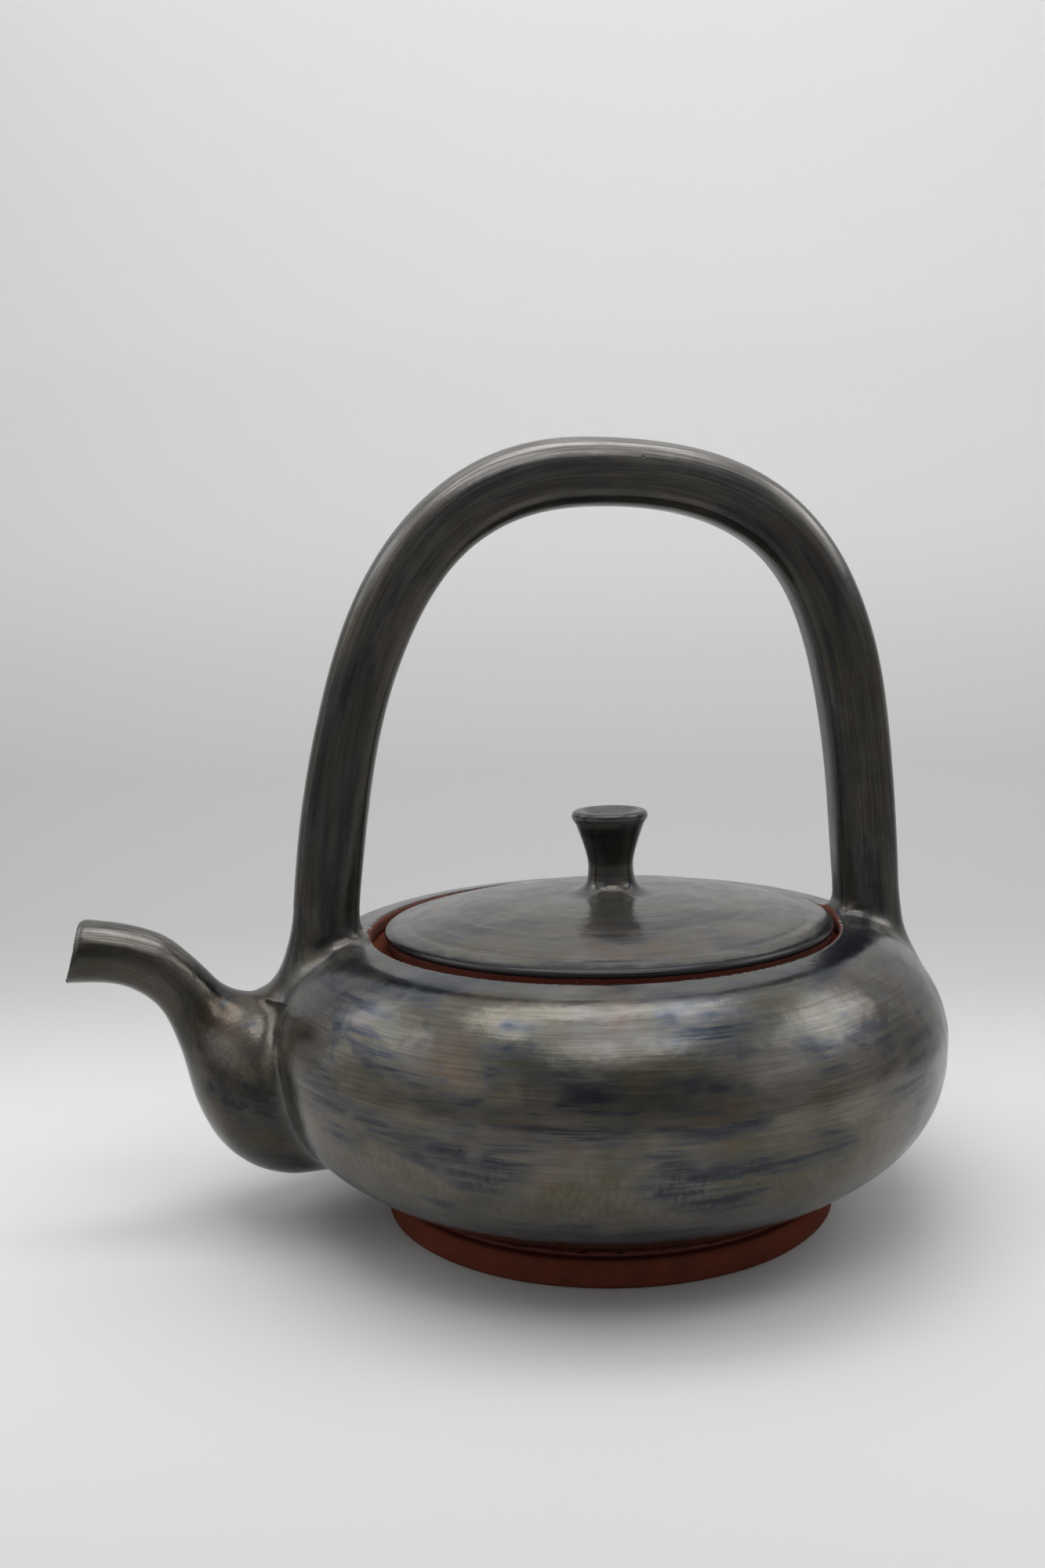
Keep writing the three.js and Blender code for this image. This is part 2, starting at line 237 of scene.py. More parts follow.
belly = belly_line()
POT_FILLED = region(np.vstack([
    [(-30, FOOT_HEIGHT), (SEAM_RADIUS, FOOT_HEIGHT)], belly,
    [(MOUTH_RADIUS, RIM_HEIGHT), (-30, RIM_HEIGHT)],
]))
cavity_wall = shifted(belly, WALL)[::-1]
cavity_wall = cavity_wall[(cavity_wall[:, 1] > FLOOR_TOP) & (cavity_wall[:, 1] < SEAT_TOP - 1.2)]
POT_CAVITY = region(np.vstack([
    [(-30, FLOOR_TOP), (SEAM_RADIUS - WALL, FLOOR_TOP)], cavity_wall[::-1],
    [(SHELF_RADIUS, SEAT_TOP), (MOUTH_RADIUS, SEAT_TOP)],
    [(MOUTH_RADIUS, RIM_HEIGHT + 12), (-30, RIM_HEIGHT + 12)],
]))


def arch_line():
    """The handle's middle line in the upright plane, from one root to the other."""
    top = HANDLE_TOP - HANDLE_HALF
    near, far = HANDLE_LEGS
    rise = top - HANDLE_FOOT_TOP
    near_foot, far_foot = (near, HANDLE_FOOT_TOP), (far, HANDLE_FOOT_TOP)
    near_lean = (near * 0.915, HANDLE_FOOT_TOP + rise * 0.526)
    far_lean = (far * 0.953, HANDLE_FOOT_TOP + rise * 0.62)
    apex = (HANDLE_APEX, top)
    near_half = bezier([near_foot, near_lean, (HANDLE_APEX + near * 0.684, top), apex], 60)
    far_half = bezier([apex, (HANDLE_APEX + far * 0.943, top), far_lean, far_foot], 60)
    near_root = (near * 1.015, HANDLE_ROOT)
    far_root = (far * 1.015, HANDLE_ROOT)
    return np.vstack([[near_root], near_half, far_half[1:], [far_root]])


arch = arch_line()
arch_steps = np.linalg.norm(np.diff(arch, axis=0), axis=1)
ARCH_APEX = arch_steps[:np.argmax(arch[:, 1])].sum()
ARCH_HALF = arch_steps.sum() / 2
ARCH = Plane((-160, 40), (112, 224), 0.5, lambda p: np.stack(nearest_on(arch, p), -1))


def handle_frame(p):
    """Length along the handle, and how far out from its middle line a point is, in the upright plane."""
    distance, along, side = ARCH.read(p[:, 0], p[:, 2]).T
    return along, distance * np.sign(side)


def foot_flare(height, rest):
    """How far a foot has spread at a height, from 0 where it starts to nearly 1 where it rests."""
    sunk = np.clip((HANDLE_FOOT_TOP - height) / (HANDLE_FOOT_TOP - rest), 0, 0.97)
    return (1 - np.sqrt(1 - sunk**2)) ** 0.8


def handle_field(p):
    along, out = handle_frame(p)
    # The strap was pulled a little unevenly, and it is thinner towards its feet
    wave = np.sin(along * 0.045 + 0.6) * 0.2 + np.sin(along * 0.11 + 2) * 0.1
    half = HANDLE_HALF + (LEG_HALF - HANDLE_HALF) * np.abs(along - ARCH_APEX) / ARCH_HALF + wave
    deep = HANDLE_DEEP + np.sin(along * 0.05) * 0.2
    near = p[:, 0] < 0
    flare = np.where(near, foot_flare(p[:, 2], HANDLE_REST[0]), foot_flare(p[:, 2], HANDLE_REST[1]))
    spread = np.where(out > 0, np.where(near, *HANDLE_SPREAD), HANDLE_SPREAD_IN)
    half = half + spread * flare
    deep = deep + HANDLE_SPREAD_SIDE * flare
    # The inner face is flatter than the outer
    power = 2.35 + 0.9 * ease(-out, -2, 7)
    a, b = np.abs(out) / half, np.abs(p[:, 1]) / deep
    a, b = np.maximum(a, 1e-4), np.maximum(b, 1e-4)
    size = (a**power + b**power) ** (1 / power)
    slope = size ** (1 - power) * np.hypot(a ** (power - 1) / half, b ** (power - 1) / deep)
    return (size - 1) / np.maximum(slope, 0.05)


def spout_balls():
    """Balls that touch both edges of the spout's outline, [x, height, radius], from root to past the lip."""
    edges = []
    for shares in (SPOUT_UPPER, SPOUT_LOWER):
        line = through(np.array(shares) * [-SPOUT_REACH, SPOUT_HEIGHT] - [BELLY_RADIUS, 0], 14)
        on = line[-1] - line[-8]
        past = line[-1] + np.outer(np.linspace(1, 12, 12), on / np.linalg.norm(on))
        edges.append(np.vstack([line, past]))
    upper, lower = edges
    middle = (upper + lower) / 2
    across = (upper - lower) / np.linalg.norm(upper - lower, axis=1)[:, None]
    for _ in range(12):
        above = nearest_on(upper, middle)[0]
        below = nearest_on(lower, middle)[0]
        middle = middle + across * (above - below)[:, None] * 0.4
    return np.hstack([middle, (above + below)[:, None] / 2])


spout_circles = spout_balls()
spout_steps = np.linalg.norm(np.diff(spout_circles[:, :2], axis=0), axis=1)
spout_length = np.concatenate([[0], np.cumsum(spout_steps)])


def spout_distance(p, thinner, nearest=False):
    """The least distance to the balls that the spout is swept from, each thinner by so much."""
    result = np.empty(len(p))
    which = np.empty(len(p), int)
    radius = spout_circles[:, 2]
    # The root is wider than it is tall
    squeeze = 1 / (1 + 0.08 * ease(radius, 12, 24))
    for start in range(0, len(p), 40000):
        q = p[start:start + 40000]
        along = q[:, 0:1] - spout_circles[:, 0]
        across = q[:, 1:2] * squeeze
        rise = q[:, 2:3] - spout_circles[:, 1]
        d = np.sqrt(along**2 + across**2 + rise**2)
        d -= radius - thinner
        which[start:start + 40000] = d.argmin(1)
        result[start:start + 40000] = d.min(1)
    return (result, which) if nearest else result


def lip_field(p):
    """How far a point is past the cut of the lip, a shallow hollow that runs out to a drip edge below."""
    top_x, bottom_x = (-BELLY_RADIUS - SPOUT_REACH * edge[-1][0] for edge in (SPOUT_UPPER, SPOUT_LOWER))
    top_z, bottom_z = (SPOUT_HEIGHT * edge[-1][1] for edge in (SPOUT_UPPER, SPOUT_LOWER))
    share = np.clip((p[:, 2] - bottom_z) / (top_z - bottom_z), -0.2, 1.2)
    edge = bottom_x + (top_x - bottom_x) * (1 - np.abs(1 - share) ** 2.4)
    return edge - p[:, 0]


def strainer_field(p):
    """The holes through the wall behind the spout."""
    best = np.full(len(p), 1e3)
    rise = STRAINER_PITCH * math.sin(math.pi / 3)
    middle = (STRAINER_ROWS - 1) / 2
    for row in range(STRAINER_ROWS):
        count = int(STRAINER_ROWS - abs(row - middle))
        for i in range(count):
            y, z = (i - (count - 1) / 2) * STRAINER_PITCH, STRAINER_HEIGHT + (row - middle) * rise
            best = np.minimum(best, np.hypot(p[:, 1] - y, p[:, 2] - z) - STRAINER_HOLE)
    ends = np.abs(p[:, 0] + BELLY_RADIUS - WALL) - 3 * WALL
    return np.maximum(best, ends)


def pot_field(p):
    """How far each point is from the surface of the fired pot, negative in the clay."""
    radius = np.hypot(p[:, 0], p[:, 1])
    # Throwing leaves faint rings round the belly
    rings = THROWING_RING * np.sin(p[:, 2] * 0.7 + 0.4 * np.sin(np.arctan2(p[:, 1], p[:, 0]) * 2))
    rings *= ease(radius, 66, 72)
    filled = POT_FILLED.read(radius, p[:, 2])[:, 0] + rings
    void = POT_CAVITY.read(radius, p[:, 2])[:, 0]

    clay = filled.copy()
    near = (p[:, 0] < -62) & (np.abs(p[:, 1]) < 46) & (p[:, 2] > 2) & (p[:, 2] < 100)
    q = p[near]
    # The cut lip is rounded above and keeps its drip edge below
    round_lip = 0.7 + 2.6 * ease(q[:, 2], 72, 86)
    outside = soft_cut(spout_distance(q, 0), lip_field(q), round_lip)
    clay[near] = soft_union(clay[near], outside, SPOUT_FILLET)
    # The wall is thicker at the root
    thinning = ease(-spout_circles[:, 0], 96, 120)
    bore = spout_distance(q, SPOUT_ROOT_WALL + (SPOUT_WALL - SPOUT_ROOT_WALL) * thinning)
    bore = np.maximum(bore, -filled[near])
    bore = np.minimum(bore, strainer_field(q))
    void[near] = np.minimum(void[near], bore)

    limb = p[:, 2] > 46
    clay[limb] = soft_union(clay[limb], handle_field(p[limb]), HANDLE_FILLET)
    return soft_cut(clay, -void, EDGE_ROUNDING)


def field_mesh(field, low, high):
    """A mesh of the surface where the field is zero, with its points drawn onto that surface."""
    low, high = np.array(low, float), np.array(high, float)
    side = 6
    blocks = np.ceil((high - low) / (side * CELL)).astype(int)
    places = np.stack(np.meshgrid(*map(np.arange, blocks), indexing="ij"), -1).reshape(-1, 3)
    # Each block of cells is looked at once in its middle, and cell by cell only near the surface
    guess = field(low + (places + 0.5 - 0.5 / side) * side * CELL)
    values = np.empty((blocks[0], side, blocks[1], side, blocks[2], side), np.float32)
    values[:] = guess.reshape(blocks[0], 1, blocks[1], 1, blocks[2], 1)
    inner = np.stack(np.meshgrid(*[np.arange(side)] * 3, indexing="ij"), -1).reshape(-1, 3)
    close = places[np.abs(guess) < side * CELL + 3]
    for some in np.array_split(close, max(len(close) // 2000, 1)):
        points = low + (some[:, None] * side + inner) * CELL
        found = field(points.reshape(-1, 3)).reshape(-1, side, side, side)
        values[some[:, 0], :, some[:, 1], :, some[:, 2], :] = found
    grid = openvdb.FloatGrid(10 * CELL)
    grid.copyFromArray(values.reshape(blocks * side))
    points, quads = grid.convertToQuads(0)
    points = points.astype(float) * CELL + low
    for _ in range(3):
        value = field(points)
        step = 0.2
        slope = np.stack([
            (field(points + step * np.eye(3)[i]) - field(points - step * np.eye(3)[i])) / (2 * step)
            for i in range(3)
        ], -1)
        move = value[:, None] * slope / np.maximum((slope**2).sum(1), 0.2)[:, None]
        points -= np.clip(move, -0.6 * CELL, 0.6 * CELL)
    return points, quads, slope


def new_object(name, points, faces):
    """An object of points in millimetres from the pot's axis."""
    mesh = bpy.data.meshes.new(name)
    placed = (np.asarray(points, float) + [AXIS_X, 0, 0]) * MM
    mesh.from_pydata(placed.tolist(), [], [list(map(int, f)) for f in faces])
    mesh.polygons.foreach_set("use_smooth", [True] * len(mesh.polygons))
    mesh.update()
    obj = bpy.data.objects.new(name, mesh)
    bpy.context.scene.collection.objects.link(obj)
    return obj


def lathe(name, profile, sides, shift=(0, 0)):
    """A closed profile of [radius, height] turned about the upright axis, moved sideways by shift."""
    points, faces, rings = [], [], []
    for radius, height in profile:
        if radius < 1e-6:
            rings.append([len(points)])
            points.append((shift[0], shift[1], height))
            continue
        rings.append(list(range(len(points), len(points) + sides)))
        for i in range(sides):
            turn = 2 * math.pi * i / sides
            points.append((shift[0] + radius * math.cos(turn), shift[1] + radius * math.sin(turn), height))
    for near, far in zip(rings, rings[1:]):
        for i in range(sides):
            j = (i + 1) % sides
            if len(near) == 1 and len(far) == 1:
                continue
            if len(near) == 1:
                faces.append((near[0], far[j], far[i]))
            elif len(far) == 1:
                faces.append((near[i], near[j], far[0]))
            else:
                faces.append((near[i], near[j], far[j], far[i]))
    obj = new_object(name, points, faces)
    work = bmesh.new()
    work.from_mesh(obj.data)
    bmesh.ops.remove_doubles(work, verts=work.verts, dist=1e-7)
    bmesh.ops.recalc_face_normals(work, faces=work.faces)
    work.to_mesh(obj.data)
    work.free()
    return obj


def rounded(corners, radius, steps=5):
    """A closed outline of corners with each one rounded off, the start repeated at the end."""
    points = []
    corners = [np.array(c[:2], float) for c in corners]
    for before, here, after in zip(corners[-1:] + corners[:-1], corners, corners[1:] + corners[:1]):
        back, on = before - here, after - here
        reach = min(radius, np.linalg.norm(back) / 2.2, np.linalg.norm(on) / 2.2)
        start = here + back / np.linalg.norm(back) * reach
        end = here + on / np.linalg.norm(on) * reach
        for t in np.linspace(0, 1, steps):
            points.append((1 - t) ** 2 * start + 2 * t * (1 - t) * here + t * t * end)
    return [tuple(p) for p in points + points[:1]]


# Shader helpers

def add_node(tree, kind, inputs=None, **settings):
    """A shader node whose inputs are given as values or as the outputs that feed them."""
    node = tree.nodes.new("ShaderNode" + kind)
    for key, value in settings.items():
        setattr(node, key, value)
    for key, value in (inputs or {}).items():
        if isinstance(value, bpy.types.NodeSocket):
            tree.links.new(value, node.inputs[key])
        else:
            node.inputs[key].default_value = value
    return node


class Shade:
    """Builds one material's node tree, with short names for the nodes that it uses."""

    def __init__(self, name):
        self.material = bpy.data.materials.new(name)
        self.material.use_nodes = True
        self.tree = self.material.node_tree
        self.tree.nodes.clear()
        place = add_node(self.tree, "TexCoord").outputs["Object"]
        moved = add_node(self.tree, "VectorMath", {0: place, 1: (AXIS_X * MM, 0, 0)}, operation="SUBTRACT")
        # Places are read in millimetres from the pot's axis
        self.place = self.times(moved.outputs["Vector"], (1 / MM, 1 / MM, 1 / MM))

    def times(self, vector, factor):
        node = add_node(self.tree, "VectorMath", {0: vector, 1: factor}, operation="MULTIPLY")
        return node.outputs["Vector"]

    def plus(self, vector, offset):
        node = add_node(self.tree, "VectorMath", {0: vector, 1: offset}, operation="ADD")
        return node.outputs["Vector"]

    def grey(self, value):
        """A colour with one value in all three channels."""
        return add_node(self.tree, "CombineXYZ", {0: value, 1: value, 2: value}).outputs[0]

    def math(self, operation, *values, clamp=False):
        inputs = dict(enumerate(values))
        return add_node(self.tree, "Math", inputs, operation=operation, use_clamp=clamp).outputs["Value"]

    def part(self, vector, axis):
        return add_node(self.tree, "SeparateXYZ", {0: vector}).outputs[axis]

    def attribute(self, name, output="Fac"):
        return add_node(self.tree, "Attribute", attribute_name=name).outputs[output]

    def noise(self, vector, size, detail=3, roughness=0.55, warp=0.0, seed=0.0):
        """Noise from 0 to 1 whose features are about so many millimetres across, along each axis."""
        factor = [1 / s for s in (size if isinstance(size, tuple) else (size,) * 3)]
        spot = self.plus(self.times(vector, factor), (seed, seed * 0.7, seed * 1.3))
        inputs = {"Vector": spot, "Scale": 1.0, "Detail": detail, "Roughness": roughness}
        return add_node(self.tree, "TexNoise", {**inputs, "Distortion": warp}).outputs["Fac"]

    def step(self, value, start, end, low=0.0, high=1.0):
        """Eases from low to high as the value goes from start to end."""
        inputs = {"Value": value, "From Min": start, "From Max": end, "To Min": low, "To Max": high}
        node = add_node(self.tree, "MapRange", inputs, interpolation_type="SMOOTHSTEP")
        return node.outputs["Result"]

    def blend(self, share, a, b, mode="MIX"):
        node = add_node(self.tree, "Mix", data_type="RGBA", blend_type=mode)
        for socket, value in zip((node.inputs[0], node.inputs[6], node.inputs[7]), (share, a, b)):
            if isinstance(value, bpy.types.NodeSocket):
                self.tree.links.new(value, socket)
            else:
                socket.default_value = (*value, 1) if isinstance(value, tuple) else value
        return node.outputs[2]

    def lerp(self, share, a, b):
        inputs = {0: share, 2: a, 3: b}
        return add_node(self.tree, "Mix", inputs, data_type="FLOAT").outputs[0]

    def specks(self, vector, size, keep, seed=0.0, inner=0.12, outer=0.34):
        """Small round spots, 1 at their middles, in about so large a share of the cells."""
        spot = self.plus(self.times(vector, (1 / size,) * 3), (seed, seed, seed))
        cells = add_node(self.tree, "TexVoronoi", {"Vector": spot, "Scale": 1.0})
        near = self.step(cells.outputs["Distance"], inner, outer, 1.0, 0.0)
        pick = self.part(cells.outputs["Color"], 0)
        return self.math("MULTIPLY", near, self.math("LESS_THAN", pick, keep))

    def finish(self, colour, roughness, metallic, height=None, depth=0.1, fixed=None):
        """Joins the surface: height is in shares of depth, in millimetres."""
        inputs = {"Base Color": colour, "Roughness": roughness, "Metallic": metallic}
        inputs.update(fixed or {})
        if height is not None:
            bump = {"Height": height, "Distance": depth * MM, "Strength": 1.0}
            inputs["Normal"] = add_node(self.tree, "Bump", bump).outputs["Normal"]
        shader = add_node(self.tree, "BsdfPrincipled", inputs)
        add_node(self.tree, "OutputMaterial", {"Surface": shader.outputs[0]})
        return self.material


# Colours and gloss of the bare clay
CLAY = (0.125, 0.028, 0.015)
CLAY_DARK = (0.07, 0.018, 0.011)
CLAY_PALE = (0.15, 0.046, 0.028)
CLAY_GRIT = (0.4, 0.28, 0.2)
CLAY_IOR = 1.12
CLAY_ROUGHNESS = 0.95

# Colours and gloss of the glaze
GLAZE_WARM = (0.133, 0.121, 0.103)
GLAZE_OLIVE = (0.096, 0.087, 0.063)
GLAZE_RUST = (0.125, 0.082, 0.055)
GLAZE_BLUE = (0.06, 0.067, 0.076)
GLAZE_INK = (0.026, 0.029, 0.036)
# Silvery lustre, also used as a painted highlight on upward faces, the knob's lip and the lid's bead
GLAZE_SILVER_AND_HIGHLIGHT = (0.21, 0.203, 0.197)
# Pooled glaze, also used as painted shade on the low belly above the foot
GLAZE_POOLED_AND_SHADE = (0.012, 0.013, 0.016)
GLAZE_PIT = (0.015, 0.014, 0.014)
GLAZE_NEUTRAL = (0.94, 1.0, 1.13)
GLAZE_IOR = 1.38
GLAZE_METAL = 0.8
LID_METAL = 0.7
THICK_HANDLE = 0.48
THICK_SPOUT = 0.56

# How far the fine relief of clay and glaze goes, in millimetres
RELIEF = 0.12

# The line attribute's range: above 0 the clay is bare, and far below it the glaze is plain
LINE_LOW, LINE_HIGH = -30, 8


def clay_colour(s):
    """Iron-rich clay, fired red, with pale and dark grit in it."""
    cloud = s.noise(s.place, 9, detail=4)
    colour = s.blend(s.step(cloud, 0.35, 0.7), CLAY, CLAY_DARK)
    colour = s.blend(s.noise(s.place, 0.5, detail=2, seed=4), colour, CLAY_PALE)
    pale = s.specks(s.place, 1.6, 0.06, seed=3, inner=0.06, outer=0.2)
    return s.blend(s.math("MULTIPLY", pale, 0.75), colour, CLAY_GRIT)


def clay_height(s):
    fine = s.noise(s.place, 0.45, detail=3, roughness=0.7)
    grit = s.specks(s.place, 1.3, 0.12, seed=8)
    return s.math("ADD", fine, grit)


def clay_material(name):
    s = Shade(name)
    return s.finish(clay_colour(s), CLAY_ROUGHNESS, 0.0, clay_height(s), RELIEF, {"IOR": CLAY_IOR})


def glaze_material(name, turned=False):
    """Dark metallic glaze over the red clay, which stays bare where the line attribute is above 0.

    turned is for the lid, whose marks run round its middle; the pot's run with its limbs."""
    s = Shade(name)
    p = s.place
    grain = s.attribute("grain", "Vector")
    limbs = s.attribute("limbs", "Vector")
    handle, spout, lustre_and_highlight = (s.part(limbs, i) for i in range(3))
    limb = s.math("ADD", handle, spout, clamp=True)

    # Streaks: level on the belly, lengthwise on the limbs, and round the lid
    if turned:
        streak = s.noise(grain, (60, 2.2, 2.2), detail=4, roughness=0.6, seed=2)
        fine = s.noise(grain, (30, 0.5, 0.5), detail=2, seed=5)
        patch = s.noise(p, (26, 14, 14), detail=3, warp=0.4, seed=9)
    else:
        level = s.noise(p, (34, 34, 3.2), detail=5, roughness=0.62, warp=0.3, seed=2)
        along = s.noise(grain, (46, 3.2, 3.2), detail=4, roughness=0.6, warp=0.2, seed=6)
        streak = s.lerp(limb, level, along)
        fine_level = s.noise(p, (16, 16, 0.6), detail=2, seed=5)
        fine_along = s.noise(grain, (24, 0.6, 0.6), detail=2, seed=7)
        fine = s.lerp(limb, fine_level, fine_along)
        # Low on the belly the brush went up and down
        upright = s.noise(p, (1.1, 1.1, 9), detail=3, seed=33)
        low = s.step(s.part(p, 2), BELLY_HEIGHT, BELLY_HEIGHT - 16, 0.0, 0.75)
        low = s.math("MULTIPLY", low, s.math("SUBTRACT", 1.0, limb))
        fine = s.lerp(low, fine, upright)
        wide = s.noise(p, (30, 30, 13), detail=3, warp=0.5, seed=9)
        patch = s.lerp(limb, wide, s.noise(grain, (40, 9, 9), detail=3, warp=0.4, seed=12))

    cloud = s.noise(p, 22, detail=4, seed=15)
    colour = s.blend(s.step(cloud, 0.4, 0.62), GLAZE_WARM, GLAZE_OLIVE)
    rusty = s.step(s.noise(p, 16, detail=5, warp=0.6, seed=21), 0.53, 0.68)
    colour = s.blend(s.math("MULTIPLY", rusty, 0.5), colour, GLAZE_RUST)
    # Blue-black smudges, feathered by the brush
    brush = s.math("ADD", s.math("MULTIPLY", streak, 0.6), s.math("MULTIPLY", fine, 0.4))
    bluish = s.math("MULTIPLY", s.step(brush, 0.39, 0.58), s.step(patch, 0.44, 0.56))
    colour = s.blend(s.math("MULTIPLY", bluish, 0.85), colour, GLAZE_BLUE)
    inky = s.math("MULTIPLY", s.step(brush, 0.46, 0.6), s.step(patch, 0.5, 0.61))
    colour = s.blend(s.math("MULTIPLY", inky, 0.9), colour, GLAZE_INK)
    # The lustre is more neutral on the shoulder and the lid
    neutral = 0.5
    if not turned:
        shoulder = s.step(s.part(p, 2), BELLY_HEIGHT + 8, BELLY_HEIGHT + 20)
        neutral = s.math("MULTIPLY", shoulder, s.math("SUBTRACT", 1.0, limb))
    colour = s.blend(neutral, colour, GLAZE_NEUTRAL, "MULTIPLY")
    # The glaze is thicker and darker on spout and handle
    thick = s.lerp(spout, s.lerp(handle, 1.0, THICK_HANDLE), THICK_SPOUT)
    colour = s.blend(1.0, colour, s.grey(thick), "MULTIPLY")
    # Silvery lustre, partly a painted highlight on the tops of handle, spout and knob and round the lid's bead
    colour = s.blend(s.math("MULTIPLY", lustre_and_highlight, s.step(fine, 0.3, 0.7, 0.3, 0.8)), colour, GLAZE_SILVER_AND_HIGHLIGHT)
    # The finest level: brushed light and dark hairs
    hair = s.step(fine, 0.25, 0.75, 0.78, 1.2)
    colour = s.blend(1.0, colour, s.grey(hair), "MULTIPLY")

    # Glaze pools dark just above the line where it ends; the band is also a painted shade, darker and wider than
    # the pooling, low on the belly near the floor
    line = s.attribute("line")
    wander = s.step(s.noise(p, (9, 9, 5), detail=3, seed=44), 0.3, 0.7, -1.6, 1.6)
    pool_and_shade = s.step(s.math("ADD", line, wander), -16.0, -11.5)
    colour = s.blend(s.math("MULTIPLY", pool_and_shade, 0.88), colour, GLAZE_POOLED_AND_SHADE)
    pits = s.specks(p, 6, 0.14, seed=30, inner=0.03, outer=0.09)
    colour = s.blend(s.math("MULTIPLY", pits, 0.7), colour, GLAZE_PIT)

    ragged = s.math("ADD", line, s.step(s.noise(p, 3, detail=4, seed=40), 0.2, 0.8, -0.5, 0.5))
    bare = s.step(ragged, -0.12, 0.12)
    colour = s.blend(bare, colour, clay_colour(s))

    cloud = s.noise(p, 7, detail=4, roughness=0.6, seed=50)
    rough = s.step(cloud, 0.3, 0.7, 0.17, 0.27)
    rough = s.math("ADD", rough, s.math("MULTIPLY", lustre_and_highlight, 0.1))
    rough = s.math("SUBTRACT", rough, s.math("MULTIPLY", pool_and_shade, 0.06))
    rough = s.lerp(bare, rough, 0.82)
    metallic = s.lerp(bare, LID_METAL if turned else GLAZE_METAL, 0.0)

    peel = s.noise(p, 3.4, detail=2, seed=60)
    grainy = s.noise(p, 0.7, detail=2, seed=70)
    swell = s.noise(p, 11, detail=2, seed=65)
    height = s.math("ADD", s.math("MULTIPLY", peel, 0.42), s.math("MULTIPLY", fine, 0.16))
    height = s.math("ADD", height, s.math("MULTIPLY", swell, 1.6))
    height = s.math("ADD", height, s.math("MULTIPLY", grainy, 0.06))
    height = s.math("SUBTRACT", height, s.math("MULTIPLY", pits, 0.8))
    height = s.lerp(bare, height, clay_height(s))
    return s.finish(colour, rough, metallic, height, RELIEF, {"IOR": GLAZE_IOR})


def set_attributes(obj, grain, limbs, line):
    """What the glaze reads at each point: streak places, shares of handle, spout and a silvery lustre that
    partly paints highlights, and its line.
    """
    mesh = obj.data
    for name, kind, key, values in (
        ("grain", "FLOAT_VECTOR", "vector", grain),
        ("limbs", "FLOAT_VECTOR", "vector", limbs),
        ("line", "FLOAT", "value", np.clip(line, LINE_LOW, LINE_HIGH)),
    ):
        layer = mesh.attributes.new(name, kind, "POINT")
        layer.data.foreach_set(key, np.asarray(values, np.float32).ravel())


def mesh_points(obj):
    """The mesh's points in millimetres from the pot's axis."""
    flat = np.empty(len(obj.data.vertices) * 3)
    obj.data.vertices.foreach_get("co", flat)
    return flat.reshape(-1, 3) / MM - [AXIS_X, 0, 0]


# The fired pot: bowl, spout and handle under one glaze

def make_pot():
    low = (-BELLY_RADIUS - SPOUT_REACH - 3, -BELLY_RADIUS - 2, 2)
    high = (BELLY_RADIUS + 3, BELLY_RADIUS + 2, HANDLE_TOP + 3)
    points, quads, slope = field_mesh(pot_field, low, high)
    obj = new_object("pot_skin", points, quads)
    slope /= np.maximum(np.linalg.norm(slope, axis=1), 1e-6)[:, None]
    # Faces are turned the way that the clay faces
    normals = np.array([v.normal for v in obj.data.vertices])
    if (normals * slope).sum() < 0:
        obj.data.flip_normals()
    obj.data.normals_split_custom_set_from_vertices(slope.tolist())

    along, out = handle_frame(points)
    radius = np.hypot(points[:, 0], points[:, 1])
    body = POT_FILLED.read(radius, points[:, 2])[:, 0]
    on_handle = ease(handle_field(points) - body, 5, -5) * (points[:, 2] > 50)
    reach, which = spout_distance(points, 0, nearest=True)
    in_reach = (points[:, 0] < -66) & (points[:, 2] < 96)
    on_spout = ease(reach - body, 5, -5) * in_reach * (1 - on_handle)
    rise = points[:, 2] - spout_circles[which, 1]
    grain = np.stack([
        np.where(on_spout > on_handle, spout_length[which] + 400, along),
        np.where(on_spout > on_handle, rise, out),
        points[:, 1],
    ], -1)
    # Silvery lustre goes on the handle's upward faces and the spout's top: partly a real lustre, partly a
    # painted highlight where the lamps above reflect
    upper = ease(points[:, 2], 150, 205) * ease(slope[:, 2], -0.2, 0.6)
    silver_and_highlight = np.clip(on_handle * (0.1 + 0.9 * upper), 0, 1)
    tube_top = on_spout * ease(slope[:, 2], 0.2, 0.8) * ease(-points[:, 0], 108, 116)
    silver_and_highlight = np.maximum(silver_and_highlight, 0.6 * tube_top)
    limbs = np.stack([on_handle, on_spout, silver_and_highlight], -1)

    cavity = POT_CAVITY.read(radius, points[:, 2])[:, 0]
    inner = np.where(cavity < 1.2, 1.2 - cavity, LINE_LOW)
    top = (points[:, 2] > RIM_HEIGHT - 0.9) & (points[:, 2] < RIM_HEIGHT + 2)
    rim = np.where(top, 10 * (MOUTH_RADIUS + 0.3 - radius), inner)
    foot = FOOT_HEIGHT + 1.7 - points[:, 2]
    line = np.maximum(np.maximum(inner, rim), foot)
    set_attributes(obj, grain, limbs, line)
    obj.data.materials.append(glaze_material("pot_glaze"))
    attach(obj, "pot")
    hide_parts("pot_body", "spout", "handle")
    return obj


# The bare rings that the potter turned: foot, gallery and the lid's locating ring

def make_ring(name, node, body, outline, sides, shift=(0, 0)):
    obj = lathe(name, outline, sides, shift)
    obj.data.materials.append(clay_material(name + "_clay"))
    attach(obj, body)
    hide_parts(node)
    return obj


